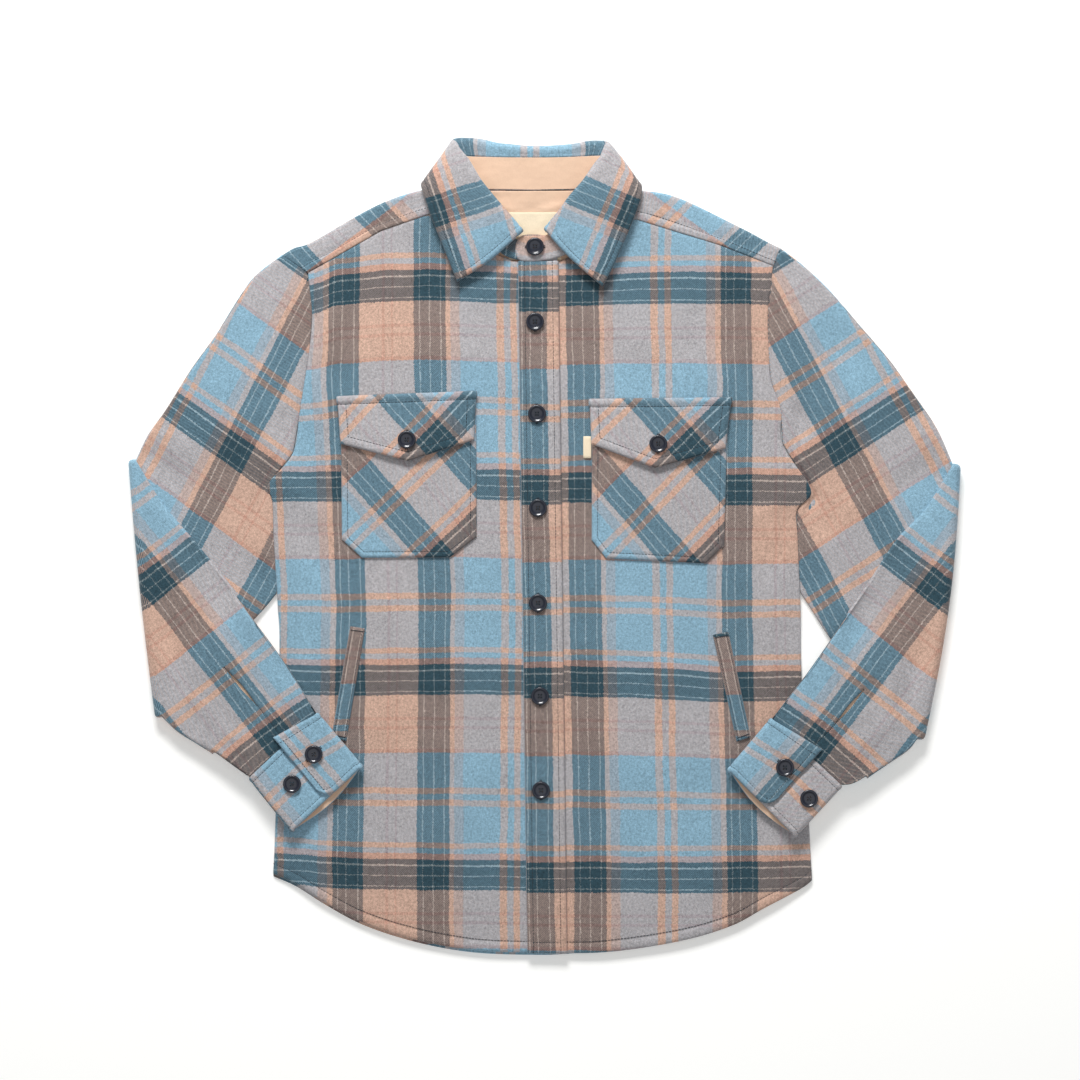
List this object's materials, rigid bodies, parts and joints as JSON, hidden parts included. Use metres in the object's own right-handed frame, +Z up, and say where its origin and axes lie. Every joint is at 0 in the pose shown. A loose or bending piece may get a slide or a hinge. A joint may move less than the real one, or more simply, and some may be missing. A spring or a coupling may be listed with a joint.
{
  "type": "wool shirt jacket",
  "caption": "Plaid wool shirt jacket laid flat with its front up, collar open, sleeves folded over at the elbow and cuffs resting on the fronts.",
  "frame": {"origin": "on the table under the middle of the whole outline", "axes": "+X to the wearer's left sleeve, +Y towards the collar, +Z up from the table out of the fronts"},
  "size_m": [0.8319, 0.8173, 0.025],
  "materials": {
    "plaid_wool": "brushed plaid wool flannel",
    "tan_twill": "plain cotton twill",
    "cream_tape": "bare woven tape",
    "navy_button": "polished resin"
  },
  "bodies": {
    "root": {"back_panel": "plaid_wool", "back_yoke": "plaid_wool", "right_front": "plaid_wool", "left_front": "plaid_wool", "placket": "plaid_wool", "collar_stand": "plaid_wool", "collar_leaf": "plaid_wool", "right_sleeve": "plaid_wool", "left_sleeve": "plaid_wool", "right_cuff": "plaid_wool", "left_cuff": "plaid_wool", "right_pocket": "plaid_wool", "left_pocket": "plaid_wool", "right_flap": "plaid_wool", "left_flap": "plaid_wool", "right_welt": "plaid_wool", "left_welt": "plaid_wool", "yoke_lining": "tan_twill", "neck_label": "cream_tape", "pocket_tag": "cream_tape", "button_01": "navy_button", "button_02": "navy_button", "button_03": "navy_button", "button_04": "navy_button", "button_05": "navy_button", "button_06": "navy_button", "button_07": "navy_button", "button_08": "navy_button", "button_09": "navy_button", "button_10": "navy_button", "button_11": "navy_button", "button_12": "navy_button", "button_13": "navy_button"}
  },
  "joints": []
}
